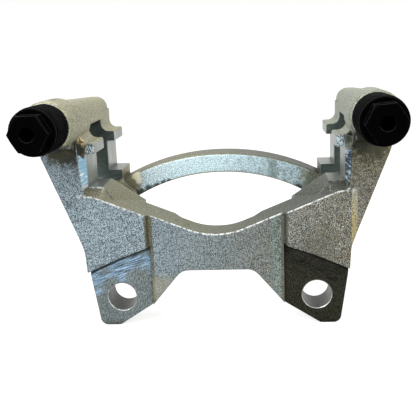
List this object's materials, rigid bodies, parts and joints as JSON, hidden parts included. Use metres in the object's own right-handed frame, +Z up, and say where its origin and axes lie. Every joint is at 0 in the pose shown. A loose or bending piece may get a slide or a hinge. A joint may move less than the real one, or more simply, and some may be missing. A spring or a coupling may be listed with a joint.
{
  "type": "brake caliper bracket",
  "caption": "Cast brake caliper bracket with milled bolt ears, broached pad slots, a tie arch over the rotor gap and booted guide pins.",
  "frame": {"origin": "half way between the two bolt holes, on the milled face that seats on the knuckle", "axes": "+X along the row of bolt holes, +Y from the knuckle out over the rotor, along the guide pins, +Z up from the bolt holes towards the pins"},
  "size_m": [0.1772, 0.136, 0.1216],
  "materials": {
    "plated_iron": "zinc plated, grainy",
    "black_steel": "black, oiled",
    "black_rubber": "smooth moulded"
  },
  "bodies": {
    "bracket": {"bracket_casting": "plated_iron", "pin_boot_left": "black_rubber", "pin_boot_right": "black_rubber"},
    "left_pin": {"guide_pin_left": "black_steel"},
    "right_pin": {"guide_pin_right": "black_steel"}
  },
  "joints": [
    {"name": "left_pin_slide", "type": "slide", "parent": "bracket", "child": "left_pin", "axis": [0, 1, 0], "range_m": [-0.008, 0.009], "deforming": ["pin_boot_left"]},
    {"name": "right_pin_slide", "type": "slide", "parent": "bracket", "child": "right_pin", "axis": [0, 1, 0], "range_m": [-0.008, 0.009], "deforming": ["pin_boot_right"]}
  ]
}
